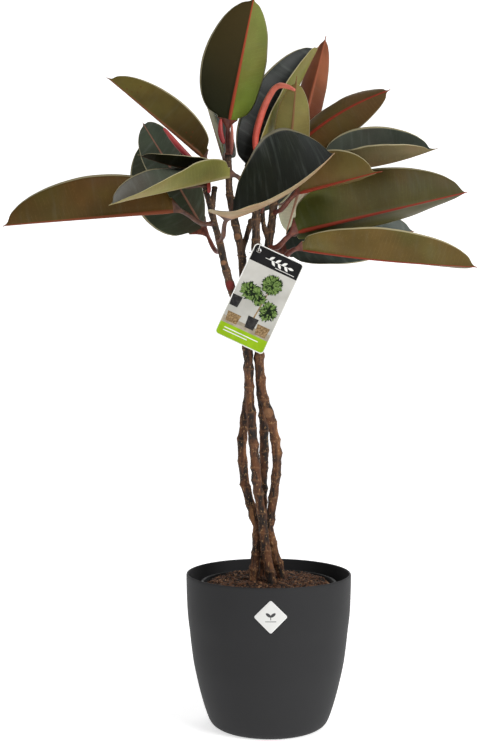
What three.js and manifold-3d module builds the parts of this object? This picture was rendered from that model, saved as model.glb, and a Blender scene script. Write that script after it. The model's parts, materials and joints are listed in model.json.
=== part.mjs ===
// Potted rubber plant (Ficus elastica): four braided stems in a grower's pot, standing in a round cover pot.
// Millimetres, +Z up. The origin is the centre of the cover pot's underside; +X is to the right of the front,
// where the plant tag and the pot's sticker are, and +Y points to the back.

import * as THREE from "three";
import { mergeVertices } from "three/addons/utils/BufferGeometryUtils.js";
import Module from "manifold-3d";

const wasm = await Module();
wasm.setup();

// ---------------------------------------------------------------- driving dimensions

const GAP = 0.4; // clearance between pieces that touch on the real plant

const POT_HEIGHT = 200;
const POT_RIM_RADIUS = 110;
const POT_WALL = 2.6;
const POT_FLOOR = 4;
const POT_SIDES = 36;

const GROW_POT_TOP = 188;
const GROW_POT_TOP_RADIUS = 88;
const GROW_POT_BASE_RADIUS = 66;
const GROW_POT_WALL = 1.2;

const SOIL_CENTRE = 193;
const SOIL_EDGE = 182;

const STEM_RADIUS = 6.4;
const STEM_FOOT = 150; // how deep the stems stand in the soil
const STEM_SIDES = 8;

const PETIOLE_GAP = 1.2;
const PETIOLE_RINGS = 5;
const BLADE_RINGS = 14;
const LEAF_SIDES = 8;

const TAG_SIZE = [70, 130, 0.8];
const TAG_CENTRE = [-13, -33, 564];
const TAG_LEAN = 25; // degrees, top to the right
const TAG_HOLE_RADIUS = 3;
const TAG_HOLE_INSET = 8;

const TIE_RADIUS = 0.6;
const TIE_LOOP = [[-14, -36, 627], [-14, -30, 627], [-21, -22, 626], [-26.5, -9, 627], [-17, 1.5, 628],
  [-8, -7, 630], [-9, -22, 634], [-11, -31, 637], [-12, -36, 634]];

const STICKER_SIDE = 30;
const STICKER_HEIGHT = 164;

const v = (p) => new THREE.Vector3(...p);
const rad = THREE.MathUtils.degToRad;

// ---------------------------------------------------------------- materials

const finish = (color, roughness) => new THREE.MeshStandardMaterial({ color, roughness, metalness: 0 });
const potPlastic = finish("#3d3d3e", 0.5);
const growPotPlastic = finish("#1d1d1e", 0.55);
const soilMix = finish("#43301f", 0.95);
const bark = finish("#5f3f27", 0.8);
const darkLeaf = finish("#3c4136", 0.35);
const oliveLeaf = finish("#5e5632", 0.45);
const orangeLeaf = finish("#8f5130", 0.45);
const redSheath = finish("#a8242a", 0.45);
const coralSheath = finish("#dd5a48", 0.5);
const tagCard = finish("#d9d9d4", 0.4);
const stickerPaper = finish("#d6d6d6", 0.5);
const tieWire = finish("#f0f0f0", 0.4);

// ---------------------------------------------------------------- helpers

const plant = new THREE.Group();

function add(name, geometry, material) {
  const mesh = new THREE.Mesh(geometry, material);
  mesh.name = name;
  plant.add(mesh);
  return mesh;
}

function bare(geometry) {
  geometry.deleteAttribute("uv");
  geometry.deleteAttribute("normal");
  return mergeVertices(geometry, 1e-4);
}

// A sphere's mesh is drawn out: its two poles become the ends, and each ring of points a cross-section.
// place(ring, point) gives every point, with ring 0 next to the first end. The four-sided patches from column
// mirroredFrom on are split along their other diagonal, so that both faces of a thin blade bend alike.
function drawnOut(sides, rings, firstEnd, lastEnd, place, mirroredFrom = sides) {
  const geometry = new THREE.SphereGeometry(1, sides, rings + 1);
  const position = geometry.getAttribute("position");
  for (let row = 0; row <= rings + 1; row++) {
    for (let column = 0; column <= sides; column++) {
      let point = place(Math.min(Math.max(row - 1, 0), rings - 1), column % sides);
      if (row === 0) point = firstEnd;
      if (row === rings + 1) point = lastEnd;
      position.setXYZ(row * (sides + 1) + column, point.x, point.y, point.z);
    }
  }
  const triangles = [...geometry.getIndex().array];
  for (let row = 1; row < rings; row++) {
    for (let column = mirroredFrom; column < sides; column++) {
      const corner = (down, across) => (row + down) * (sides + 1) + column + across;
      const patch = [corner(0, 1), corner(0, 0), corner(1, 0), corner(0, 1), corner(1, 0), corner(1, 1)];
      triangles.splice(sides * 3 + ((row - 1) * sides + column) * 6, 6, ...patch);
    }
  }
  geometry.setIndex(triangles);
  return bare(geometry);
}

// A round rod along a curve, with the radius that radiusAt(0..1) gives.
function rod(curve, radiusAt, rings, sides) {
  const frames = curve.computeFrenetFrames(rings - 1, false);
  const centre = (ring) => curve.getPointAt(ring / (rings - 1));
  return drawnOut(sides, rings, centre(0), centre(rings - 1), (ring, point) => {
    const turn = (point / sides) * 2 * Math.PI;
    const radius = radiusAt(ring / (rings - 1));
    return centre(ring)
      .addScaledVector(frames.normals[ring], radius * Math.cos(turn))
      .addScaledVector(frames.binormals[ring], -radius * Math.sin(turn));
  });
}

function solid(geometry) {
  const mesh = new wasm.Mesh({
    numProp: 3,
    vertProperties: new Float32Array(geometry.getAttribute("position").array),
    triVerts: new Uint32Array(geometry.getIndex().array),
  });
  return new wasm.Manifold(mesh);
}

function surface(body) {
  const mesh = body.getMesh();
  const geometry = new THREE.BufferGeometry();
  geometry.setAttribute("position", new THREE.BufferAttribute(mesh.vertProperties, 3));
  geometry.setIndex(new THREE.BufferAttribute(mesh.triVerts, 1));
  return geometry;
}

// Straight-line lookup in rows of [key, value, value...].
function lookUp(rows, key) {
  const last = rows.findIndex((row) => row[0] >= key);
  if (last <= 0) return rows[last === 0 ? 0 : rows.length - 1];
  const [low, high] = [rows[last - 1], rows[last]];
  const share = (key - low[0]) / (high[0] - low[0]);
  return low.map((value, i) => value + (high[i] - value) * share);
}

// ---------------------------------------------------------------- cover pot, grower's pot and soil

// A lathe turns about Y, so its pieces are stood up along Z.
function turned(profile) {
  const points = profile.map(([radius, height]) => new THREE.Vector2(radius, height));
  return bare(new THREE.LatheGeometry(points, POT_SIDES).rotateX(Math.PI / 2));
}

// The cover pot's side: nearly straight below the rim, then drawn in to a small rounded foot.
const POT_SIDE = [
  [70, 0], [75, 1.5], [78.5, 6], [83.5, 17], [90, 38], [95.5, 60], [100, 81],
  [103, 102], [105.5, 124], [108, 145], [109.5, 166],
];

function coverPot() {
  const inside = POT_SIDE.slice(3).map(([radius, height]) => [radius - POT_WALL, height]);
  return turned([
    [0, 0],
    ...POT_SIDE,
    [POT_RIM_RADIUS, POT_HEIGHT - 1.2],
    [POT_RIM_RADIUS - 1, POT_HEIGHT],
    [POT_RIM_RADIUS - POT_WALL, POT_HEIGHT - 0.8],
    ...inside.reverse(),
    [POT_SIDE[2][0] - POT_WALL, POT_FLOOR + 3],
    [POT_SIDE[0][0] - POT_WALL, POT_FLOOR],
    [0, POT_FLOOR],
  ]);
}

const growPotRadius = (height) =>
  THREE.MathUtils.mapLinear(height, POT_FLOOR, GROW_POT_TOP, GROW_POT_BASE_RADIUS, GROW_POT_TOP_RADIUS);
const growPotFoot = POT_FLOOR + GAP;
const growPotFloor = growPotFoot + 2;

function growPot() {
  return turned([
    [0, growPotFoot],
    [growPotRadius(growPotFoot), growPotFoot],
    [growPotRadius(GROW_POT_TOP - 8), GROW_POT_TOP - 8],
    [GROW_POT_TOP_RADIUS + 3, GROW_POT_TOP - 8],
    [GROW_POT_TOP_RADIUS + 3, GROW_POT_TOP],
    [GROW_POT_TOP_RADIUS - GROW_POT_WALL, GROW_POT_TOP],
    [growPotRadius(growPotFloor) - GROW_POT_WALL, growPotFloor],
    [0, growPotFloor],
  ]);
}

function soil(holes) {
  const edge = (height) => growPotRadius(height) - GROW_POT_WALL - GAP;
  const foot = growPotFloor + GAP;
  const mound = turned([
    [0, foot],
    [edge(foot) - 1, foot],
    [edge(SOIL_EDGE - 4), SOIL_EDGE - 4],
    [edge(SOIL_EDGE) - 2, SOIL_EDGE],
    [74, SOIL_EDGE + 6],
    [50, SOIL_CENTRE - 2],
    [25, SOIL_CENTRE],
    [0, SOIL_CENTRE],
  ]);
  return surface(holes.reduce((rest, hole) => rest.subtract(solid(hole)), solid(mound)));
}

// ---------------------------------------------------------------- stems

// The braid: at each height, the middle of the four stems, how far they stand from it sideways and front to
// back, and how far they have turned. [height, middle x, middle y, x radius, y radius, degrees]
const BRAID = [
  [STEM_FOOT, 1, -15, 23, 23, 62],
  [172, 0, -15, 22, 22, 61],
  [196, -2, -15, 20, 20, 60],
  [232, -5, -14, 11.5, 13, 52],
  [262, -7.5, -12, 7.5, 11.5, 45],
  [290, -9.5, -11, 14, 14.5, 38],
  [314, -11.5, -10, 19.5, 19.5, 34],
  [350, -12, -10, 24, 24, 30],
  [368, -13, -10, 24, 24, 28],
  [403, -14.5, -9, 20, 20, 20],
  [437, -17.5, -8, 12, 12, 5],
  [462, -19, -8, 10.4, 10.4, 0],
  [488, -20, -8, 10.2, 10.2, 0],
];
const BRAID_STEP = 14;

function braidPoints(corner) {
  const points = [];
  for (let height = STEM_FOOT; height < 490; height += BRAID_STEP) {
    const [, x, y, wide, deep, turn] = lookUp(BRAID, height);
    const angle = rad(corner + turn);
    points.push([x + wide * Math.cos(angle), y + deep * Math.sin(angle), height]);
  }
  return points;
}

// Each stem above the braid, then its side shoots. A shoot has its points and its radius at foot and tip.
const STEMS = {
  stem_left: {
    corner: 225,
    top: [[-33, -17, 520], [-45, -18, 564], [-57, -18, 603], [-65, -18, 639], [-73, -18, 668],
      [-77, -17, 685], [-85, -15, 716], [-87, -13, 735]],
    tipRadius: 3.2,
    shoots: [{ points: [[-76, -17, 680], [-74, -14, 697], [-72, -9, 714]], radius: [4, 2.8] }],
  },
  stem_middle_left: {
    corner: 135,
    top: [[-28, 1, 520], [-28, 3, 551], [-34, 5, 600], [-36, 5, 628], [-40, 5, 647], [-44, 5, 666],
      [-50, 5, 694], [-53, 5, 717], [-54, 4, 762]],
    tipRadius: 4,
    shoots: [{ points: [[-36, 6, 630], [-29, 11, 652], [-22, 16, 674]], radius: [3.6, 2.8] }],
  },
  stem_middle_right: {
    corner: 315,
    top: [[-13, -15, 520], [-17, -12, 564], [-17, -8, 637], [-17, -8, 683], [-16, -6, 711], [-17, -3, 740],
      [-17, -2, 757]],
    tipRadius: 4.4,
    shoots: [],
  },
  stem_right: {
    corner: 45,
    top: [[-11, 1, 520], [-8, 4, 565], [0, 8, 639], [4, 8, 666], [8, 10, 695], [12, 12, 721], [18, 15, 752]],
    tipRadius: 4.4,
    shoots: [{ points: [[-1, 7, 648], [-7, 4, 667], [-8, 2, 684]], radius: [3.2, 2.6] }],
  },
};

// A stem's own line and its shoots' lines, each with its radius from foot (0) to tip (1).
function stemLines({ corner, top, tipRadius, shoots }) {
  const main = new THREE.CatmullRomCurve3([...braidPoints(corner), ...top].map(v), false, "centripetal");
  const radiusAt = (share) => THREE.MathUtils.lerp(STEM_RADIUS, tipRadius, Math.max(0, share - 0.5) * 2);
  const sides = shoots.map(({ points, radius: [thick, thin] }) => ({
    curve: new THREE.CatmullRomCurve3(points.map(v)),
    radiusAt: (share) => THREE.MathUtils.lerp(thick, thin, share),
  }));
  return [{ curve: main, radiusAt }, ...sides];
}

function stem(shape) {
  const bodies = stemLines(shape).map(({ curve, radiusAt }, index) =>
    solid(rod(curve, radiusAt, index === 0 ? 44 : 6, STEM_SIDES)));
  return bodies.reduce((joined, body) => joined.add(body));
}

// Where a petiole meets a stem: the line's middle at a height, its direction, and the stem's radius. A height
// above the stem's end means the petiole carries straight on from its tip.
function nodeOn(name, height, line = 0) {
  const { curve, radiusAt } = stemLines(STEMS[name])[line];
  let share = 0;
  while (share < 1 && curve.getPointAt(share).z < height) share = Math.min(share + 0.002, 1);
  return {
    middle: curve.getPointAt(share),
    along: curve.getTangentAt(share),
    radius: radiusAt(share),
    atTip: share === 1,
  };
}

function stemHole({ corner }) {
  const curve = new THREE.CatmullRomCurve3(braidPoints(corner).map(v), false, "centripetal");
  return rod(curve, () => STEM_RADIUS + GAP, 40, STEM_SIDES);
}

// ---------------------------------------------------------------- leaves

// Half-width of a rubber-plant blade along its length, 1 at its widest: blunt foot, tapering tip.
const outline = (share) => 1.91 * share ** 0.4 * (1 - share) ** 0.55;
const BLADE_SHARES = [0.012, 0.04, 0.09, 0.16, 0.25, 0.35, 0.46, 0.57, 0.68, 0.78, 0.87, 0.94, 0.98, 0.997];

// on: the stem, the height and the shoot that the petiole grows from; base and tip: the ends of the blade;
// face: where its upper side looks; fold: how far each half rises from flat, in degrees; twist: how far the
// blade turns about its midrib from base to tip; arch: how far the midrib bows towards the upper side;
// sway: how far it bows sideways; drip: the length of the thin drip tip; out: the way the petiole leaves the
// stem, when that isn't straight towards the blade.
function leaf(shape) {
  const { on, out, base, tip, face, width, fold } = shape;
  const { twist = 0, arch = 0, sway = 0, drip = 6, petiole = 3 } = shape;
  const [hinge, end] = [v(base), v(tip)];
  const node = nodeOn(...on);
  const outward = out ? v(out) : hinge.clone().sub(node.middle);
  const leaving = node.atTip ? node.along : outward.projectOnPlane(node.along).normalize();
  const start = node.middle.clone().addScaledVector(leaving, (node.atTip ? 0 : node.radius) + PETIOLE_GAP);
  const chord = end.clone().sub(hinge);
  const up = v(face).projectOnPlane(chord).normalize();
  const across = chord.clone().cross(up).normalize();
  const bow = hinge.clone().add(end).multiplyScalar(0.5);
  bow.addScaledVector(up, 2 * arch).addScaledVector(across, 2 * sway);
  const midrib = new THREE.QuadraticBezierCurve3(hinge, bow, end);
  const reach = start.distanceTo(hinge) * 0.4;
  const stalk = new THREE.CubicBezierCurve3(
    start,
    start.clone().addScaledVector(leaving, reach),
    hinge.clone().addScaledVector(midrib.getTangent(0), -reach),
    hinge,
  );
  const place = (ring, point) => {
    const onBlade = ring >= PETIOLE_RINGS;
    const share = onBlade ? BLADE_SHARES[ring - PETIOLE_RINGS] : ring / PETIOLE_RINGS;
    const curve = onBlade ? midrib : stalk;
    const centre = curve.getPoint(share);
    const along = curve.getTangent(share);
    const turned = rad(onBlade ? twist * (share - 0.5) : -twist / 2);
    const normal = up.clone().projectOnPlane(along).normalize().applyAxisAngle(along, turned);
    const side = along.clone().cross(normal);
    const turn = Math.PI * (1 + (2 * point) / LEAF_SIDES);
    if (!onBlade) {
      const radius = petiole * (1.15 - 0.25 * share);
      return centre
        .addScaledVector(side, radius * Math.cos(turn))
        .addScaledVector(normal, radius * Math.sin(turn));
    }
    const offset = [-1, -0.5, 0, 0.5, 1, 0.5, 0, -0.5][point];
    const below = point > 0 && point < 4;
    const ribbed = offset === 0 ? petiole * 0.8 * (1 - share) + 0.6 : 0.5;
    const thickness = Math.abs(offset) === 1 ? 0 : below ? -ribbed : 0.5;
    const rise = rad(fold) * (0.85 + 0.3 * Math.abs(offset));
    const reachOut = Math.abs(offset) * outline(share) * (width / 2);
    const lean = Math.sign(offset) * rise;
    return centre
      .addScaledVector(side, Math.sign(offset) * reachOut * Math.cos(rise) - thickness * Math.sin(lean))
      .addScaledVector(normal, reachOut * Math.sin(rise) + thickness * Math.cos(lean));
  };
  const thread = end.clone().addScaledVector(midrib.getTangent(1), drip);
  return drawnOut(LEAF_SIDES, PETIOLE_RINGS + BLADE_RINGS, start, thread, place, LEAF_SIDES / 2);
}

const LEAVES = {
  leaf_low_left: { colour: oliveLeaf, on: ["stem_left", 664], base: [-123, -24, 680],
    tip: [-334, -75, 654], face: [-0.2, 0.5, 0.85], width: 110, fold: 47 },
  leaf_upper_left: { colour: oliveLeaf, on: ["stem_left", 740], base: [-86, -10, 753],
    tip: [-205, -60, 843], face: [0.4, 0.45, 0.8], width: 74, fold: 45 },
  leaf_front_left: { colour: darkLeaf, on: ["stem_middle_right", 706], base: [-50, -34, 725],
    tip: [-196, -105, 677], face: [-0.2, -0.35, 0.92], width: 80, fold: 36, twist: -50 },
  leaf_edge_left: { colour: oliveLeaf, on: ["stem_middle_left", 735], base: [-62, -24, 735],
    tip: [-164, -66, 744], face: [0.12, 0, 0.99], width: 48, fold: 27, arch: -6, petiole: 2.4 },
  leaf_behind_left: { colour: darkLeaf, on: ["stem_left", 714], out: [-1, -0.8, 0.1], base: [-122, 22, 729],
    tip: [-172, 60, 812], face: [-0.6, -0.8, 0.1], width: 62, fold: 12, petiole: 2.4 },
  leaf_far_left: { colour: darkLeaf, on: ["stem_left", 628], base: [-87, 18, 662],
    tip: [-167, 105, 804], face: [-0.6, -0.75, 0.1], width: 132, fold: 30 },
  leaf_behind_top: { colour: darkLeaf, on: ["stem_middle_left", 744], base: [-60, 22, 759],
    tip: [-87, 95, 850], face: [0.85, -0.25, 0.45], width: 60, fold: 25 },
  leaf_top: { colour: oliveLeaf, on: ["stem_middle_left", 766], base: [-53, -4, 803],
    tip: [-21, -50, 948], face: [-0.33, 0.88, 0.35], width: 103, fold: 24, petiole: 3.4 },
  leaf_back_upright: { colour: darkLeaf, on: ["stem_middle_left", 700], base: [-18, 35, 740],
    tip: [70, 70, 920], face: [-0.6, -0.67, 0.43], width: 110, fold: 50 },
  leaf_young_green: { colour: oliveLeaf, on: ["stem_right", 684, 1], base: [27, -5, 741],
    tip: [35, -35, 845], face: [0.05, 0.96, 0.27], width: 56, fold: 27, drip: 10, petiole: 2.2 },
  leaf_front: { colour: darkLeaf, on: ["stem_left", 641], base: [-51, -60, 666],
    tip: [66, -235, 712], face: [-0.77, -0.38, 0.51], width: 160, fold: 35, twist: 38, arch: -12 },
  leaf_front_right: { colour: oliveLeaf, on: ["stem_right", 682], base: [40, -30, 703],
    tip: [128, -105, 715], face: [0.25, 0.47, 0.85], width: 88, fold: 38, drip: 14 },
  leaf_upper_right: { colour: oliveLeaf, on: ["stem_right", 756], base: [32, 16, 768],
    tip: [155, -20, 839], face: [0.1, 0.97, -0.2], width: 70, fold: 36, sway: 9, petiole: 2.4 },
  leaf_young_orange: { colour: orangeLeaf, on: ["stem_right", 744], base: [47, 60, 800],
    tip: [82, 85, 938], face: [0, 1, -0.15], width: 60, fold: 43, petiole: 2.2 },
  leaf_mid_right: { colour: darkLeaf, on: ["stem_right", 724], base: [70, 22, 743],
    tip: [213, -25, 759], face: [-0.27, -0.57, 0.78], width: 106, fold: 50, arch: -8, drip: 10 },
  leaf_low_right: { colour: oliveLeaf, on: ["stem_right", 634], base: [35, -12, 653],
    tip: [267, 30, 712], face: [-0.3, 0.78, 0.55], width: 126, fold: 38, petiole: 3.6 },
  leaf_lowest_right: { colour: oliveLeaf, on: ["stem_right", 612], base: [43, -2, 633],
    tip: [261, -60, 603], face: [0.2, 0.24, 0.95], width: 107, fold: 25, twist: -30, arch: -4, petiole: 3.4 },
  leaf_far_right: { colour: darkLeaf, on: ["stem_right", 636], out: [0.2, 1, 0], base: [24, 60, 636],
    tip: [211, 130, 672], face: [0.2, -0.85, 0.5], width: 100, fold: 18 },
  leaf_back_hanging: { colour: darkLeaf, on: ["stem_right", 694], out: [0.5, 1, 0], base: [46, 100, 728],
    tip: [30, 135, 674], face: [0.1, 0.85, 0.5], width: 50, fold: 25, petiole: 2.2 },
  leaf_back_low: { colour: darkLeaf, on: ["stem_middle_left", 672, 1], base: [-16, 40, 686],
    tip: [35, 150, 796], face: [0, -0.7, 0.7], width: 74, fold: 15 },
};

// ---------------------------------------------------------------- sheaths that wrap the growing tips

const SHEATHS = {
  sheath_left: { colour: redSheath, radius: 3.8, points: [[-100, -19, 747], [-119, -25, 765],
    [-138, -34, 787]] },
  sheath_centre: { colour: coralSheath, radius: 4.6, points: [[-18, -3, 761], [-17, -3, 784], [-9, -6, 813],
    [0, -16, 832], [10, -31, 842], [21, -46, 839], [32, -57, 831]] },
  bud_top: { colour: redSheath, radius: 3.6, points: [[-60, -7, 772], [-64, -8, 786], [-64, -8, 805]] },
  sheath_top: { colour: coralSheath, radius: 2.6, points: [[-50, -4, 758], [-49, -6, 779], [-49, -9, 797]] },
  bud_left: { colour: redSheath, radius: 2.6, points: [[-79, -22, 704], [-79, -23, 712], [-79, -22, 722]] },
};

function sheath({ points, radius }) {
  const curve = new THREE.CatmullRomCurve3(points.map(v));
  const swell = (share) => 0.35 + 0.65 * Math.sin(Math.PI * share ** 0.7) ** 0.6;
  return rod(curve, (share) => radius * swell(share), 14, LEAF_SIDES);
}

// ---------------------------------------------------------------- sticker, tag and tie

function potRadius(height) {
  return lookUp(POT_SIDE.map(([radius, level]) => [level, radius]), height)[1];
}

// A square stood on its corner and laid round the pot's front.
function sticker() {
  const square = new THREE.BoxGeometry(STICKER_SIDE, STICKER_SIDE, 0.4, 6, 6, 1).rotateZ(rad(45));
  const position = square.getAttribute("position");
  for (let i = 0; i < position.count; i++) {
    const height = STICKER_HEIGHT + position.getY(i);
    const radius = potRadius(height) + GAP + 0.2 + position.getZ(i);
    const angle = position.getX(i) / POT_RIM_RADIUS;
    position.setXYZ(i, radius * Math.sin(angle), -radius * Math.cos(angle), height);
  }
  return bare(square);
}

function roundedCard([width, height, thickness], corner) {
  const [x, y] = [width / 2, height / 2];
  const card = new THREE.Shape();
  card.moveTo(-x + corner, -y);
  card.absarc(x - corner, -y + corner, corner, -Math.PI / 2, 0);
  card.absarc(x - corner, y - corner, corner, 0, Math.PI / 2);
  card.absarc(-x + corner, y - corner, corner, Math.PI / 2, Math.PI);
  card.absarc(-x + corner, -y + corner, corner, Math.PI, 1.5 * Math.PI);
  const hole = new THREE.Path();
  hole.absarc(-x + TAG_HOLE_INSET, y - TAG_HOLE_INSET, TAG_HOLE_RADIUS, 0, 2 * Math.PI, true);
  card.holes.push(hole);
  return new THREE.ExtrudeGeometry(card, { depth: thickness, bevelEnabled: false, curveSegments: 5 });
}

function tag() {
  const card = roundedCard(TAG_SIZE, 5).translate(0, 0, -TAG_SIZE[2] / 2);
  card.rotateZ(rad(-TAG_LEAN)).rotateX(Math.PI / 2).translate(...TAG_CENTRE);
  return bare(card);
}

// The wire loop that holds the tag: through its hole, round the stem behind it and over the card's top edge.
function tie() {
  const loop = new THREE.CatmullRomCurve3(TIE_LOOP.map(v), true);
  const wire = new THREE.TorusGeometry(1, 0.5, 6, 40);
  const position = wire.getAttribute("position");
  const frames = loop.computeFrenetFrames(40, true);
  for (let ring = 0; ring <= 6; ring++) {
    for (let step = 0; step <= 40; step++) {
      const turn = (ring / 6) * 2 * Math.PI;
      const point = loop.getPointAt((step % 40) / 40)
        .addScaledVector(frames.normals[step % 40], TIE_RADIUS * Math.cos(turn))
        .addScaledVector(frames.binormals[step % 40], -TIE_RADIUS * Math.sin(turn));
      position.setXYZ(ring * 41 + step, point.x, point.y, point.z);
    }
  }
  return bare(wire);
}

// ---------------------------------------------------------------- the assembled plant

add("cover_pot", coverPot(), potPlastic);
add("nursery_pot", growPot(), growPotPlastic);
add("soil", soil(Object.values(STEMS).map(stemHole)), soilMix);
for (const [name, shape] of Object.entries(STEMS)) add(name, surface(stem(shape)), bark);
for (const [name, shape] of Object.entries(LEAVES)) add(name, leaf(shape), shape.colour);
for (const [name, shape] of Object.entries(SHEATHS)) add(name, sheath(shape), shape.colour);
add("pot_sticker", sticker(), stickerPaper);
add("plant_tag", tag(), tagCard);
add("tag_tie", tie(), tieWire);

export default plant;
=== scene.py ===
import json
import math
import random

import bmesh
import bpy
import numpy as np
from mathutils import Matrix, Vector, noise


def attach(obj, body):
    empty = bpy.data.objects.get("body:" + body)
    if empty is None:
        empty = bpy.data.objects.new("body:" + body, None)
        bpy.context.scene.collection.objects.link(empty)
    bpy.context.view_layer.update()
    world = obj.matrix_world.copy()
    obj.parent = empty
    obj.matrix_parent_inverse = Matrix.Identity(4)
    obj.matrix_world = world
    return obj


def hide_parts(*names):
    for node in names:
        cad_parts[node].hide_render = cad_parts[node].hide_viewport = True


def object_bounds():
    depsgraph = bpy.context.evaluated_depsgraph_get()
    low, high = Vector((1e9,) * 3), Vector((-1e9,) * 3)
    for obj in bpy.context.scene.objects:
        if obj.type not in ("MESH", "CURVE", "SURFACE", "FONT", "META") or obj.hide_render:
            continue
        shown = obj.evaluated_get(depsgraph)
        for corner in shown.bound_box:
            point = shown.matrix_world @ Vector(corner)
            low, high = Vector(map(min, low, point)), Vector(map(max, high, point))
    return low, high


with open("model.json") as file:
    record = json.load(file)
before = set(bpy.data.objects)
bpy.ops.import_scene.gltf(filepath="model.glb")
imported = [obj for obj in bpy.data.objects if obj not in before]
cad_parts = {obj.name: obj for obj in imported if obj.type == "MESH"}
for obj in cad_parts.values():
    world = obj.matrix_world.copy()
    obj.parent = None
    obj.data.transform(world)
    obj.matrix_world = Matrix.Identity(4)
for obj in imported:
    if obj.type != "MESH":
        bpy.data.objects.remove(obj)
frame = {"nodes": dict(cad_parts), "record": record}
cad_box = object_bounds()


# ---------------------------------------------------------------- camera
# It stands level at half the plant's height, 1.5 m in front of it and a little left of the pot's axis, and
# looks straight along +Y.
def shown(name, data):
    """A new object at the origin, put into the scene."""
    made = bpy.data.objects.new(name, data)
    bpy.context.collection.objects.link(made)
    return made


camera = shown("camera", bpy.data.cameras.new("camera"))
camera.data.lens = 53.71
camera.location = (-0.0356, -1.48, 0.47)
camera.rotation_euler = (math.pi / 2, 0, 0)
bpy.context.scene.camera = camera


# ---------------------------------------------------------------- cover pot
# Injection-moulded in one piece from dark grey plastic: a thin wall with a rounded rim, nearly straight
# at the top and drawn in to a small foot. Its skin is satin with a very fine mould grain.
class Tone:
    """A value in a finish or a tree, which can be added to, multiplied and so on like a number."""

    def __init__(self, wiring, socket):
        self.wiring, self.socket = wiring, socket

    def sum(self, operation, first, second=0.0):
        return self.wiring.node("ShaderNodeMath", {"operation": operation}, {0: first, 1: second})

    def __add__(self, other):
        return self.sum("ADD", self, other)

    def __sub__(self, other):
        return self.sum("SUBTRACT", self, other)

    def __rsub__(self, other):
        return self.sum("SUBTRACT", other, self)

    def __mul__(self, other):
        return self.sum("MULTIPLY", self, other)

    def __pow__(self, other):
        return self.sum("POWER", self, other)

    def __abs__(self):
        return self.sum("ABSOLUTE", self)

    __radd__ = __add__
    __rmul__ = __mul__


class Wiring:
    """Adds nodes to a tree: their settings, then the values or links of their sockets. A list is joined."""

    def __init__(self, tree):
        self.tree = tree

    @staticmethod
    def find(sockets, name):
        if isinstance(name, int):
            return sockets[name]
        return next(s for s in sockets if s.enabled and name in (s.identifier, s.name))

    def node(self, kind, settings, sockets, result=0):
        made = self.tree.nodes.new(kind)
        for name, value in settings.items():
            setattr(made, name, value)
        for name, value in sockets.items():
            socket = self.find(made.inputs, name)
            for given in value if isinstance(value, list) else [value]:
                if isinstance(given, Tone):
                    self.tree.links.new(given.socket, socket)
                else:
                    socket.default_value = given
        return Tone(self, self.find(made.outputs, result)) if len(made.outputs) else None

    def part(self, vector, axis):
        return self.node("ShaderNodeSeparateXYZ", {}, {"Vector": vector}, axis)


class Finish(Wiring):
    """A surface finish: one shader, and the nodes that vary it over the surface."""

    def __init__(self, name, **fixed):
        self.material = bpy.data.materials.new(name)
        self.material.use_nodes = True
        super().__init__(self.material.node_tree)
        self.shader = self.tree.nodes["Principled BSDF"]
        for word, value in fixed.items():
            spelled = word.replace("_", " ").title().replace("Ior", "IOR")
            self.shader.inputs[spelled].default_value = value

    def feed(self, name, tone):
        self.tree.links.new(tone.socket, self.shader.inputs[name])

    def mix(self, share, first, second):
        sockets = {"Factor_Float": share, "A_Color": first, "B_Color": second}
        return self.node("ShaderNodeMix", {"data_type": "RGBA"}, sockets, "Result_Color")

    def fade(self, tone, low, high):
        sockets = {"Value": tone, "From Min": low, "From Max": high}
        return self.node("ShaderNodeMapRange", {"interpolation_type": "SMOOTHSTEP"}, sockets)

    def place(self, stretch=(1, 1, 1)):
        point = self.node("ShaderNodeTexCoord", {}, {}, "Object")
        return self.node("ShaderNodeMapping", {}, {"Vector": point, "Scale": stretch})

    def grain(self, scale, detail=3.0, place=None):
        sockets = {"Vector": place or self.place(), "Scale": scale, "Detail": detail}
        return self.node("ShaderNodeTexNoise", {}, sockets, "Fac")

    def bump(self, height, strength, distance):
        sockets = {"Height": height, "Strength": strength, "Distance": distance}
        self.feed("Normal", self.node("ShaderNodeBump", {}, sockets))


def tint(red, green, blue):
    """A colour from its usual 0 to 255 values."""
    return (*(((c / 255 + 0.055) / 1.055) ** 2.4 for c in (red, green, blue)), 1)


def curve_through(points, places, at):
    """The smooth curve through points standing at rising places, read at each value of at."""
    points, places, at = (np.asarray(a, float) for a in (points, places, at))
    flat = points.reshape(len(points), -1)
    gap = np.diff(places)[:, None]
    slope = np.diff(flat, axis=0) / gap
    inner = (gap[1:] * slope[:-1] + gap[:-1] * slope[1:]) / (gap[1:] + gap[:-1])
    tangent = np.vstack([slope[:1], inner, slope[-1:]])
    low = np.clip(np.searchsorted(places, at, "right") - 1, 0, len(places) - 2)
    step = gap[low]
    t = ((at - places[low])[:, None]) / step
    found = (
        flat[low] * (1 + 2 * t) * (1 - t) ** 2
        + flat[low + 1] * t * t * (3 - 2 * t)
        + tangent[low] * step * t * (1 - t) ** 2
        - tangent[low + 1] * step * t * t * (1 - t)
    )
    return found.reshape(len(at), *points.shape[1:])


def body(name, points, faces, *finishes):
    """A smooth closed mesh, standing in the frame."""
    mesh = bpy.data.meshes.new(name)
    mesh.from_pydata([tuple(p) for p in points], [], faces)
    for finish in finishes:
        mesh.materials.append(finish.material)
    mesh.polygons.foreach_set("use_smooth", [True] * len(mesh.polygons))
    return shown(name, mesh)


def stand_for(made, slot, *nodes):
    """Puts a piece on the plant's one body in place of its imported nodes."""
    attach(made, "root")
    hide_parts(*nodes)
    return made


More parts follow.
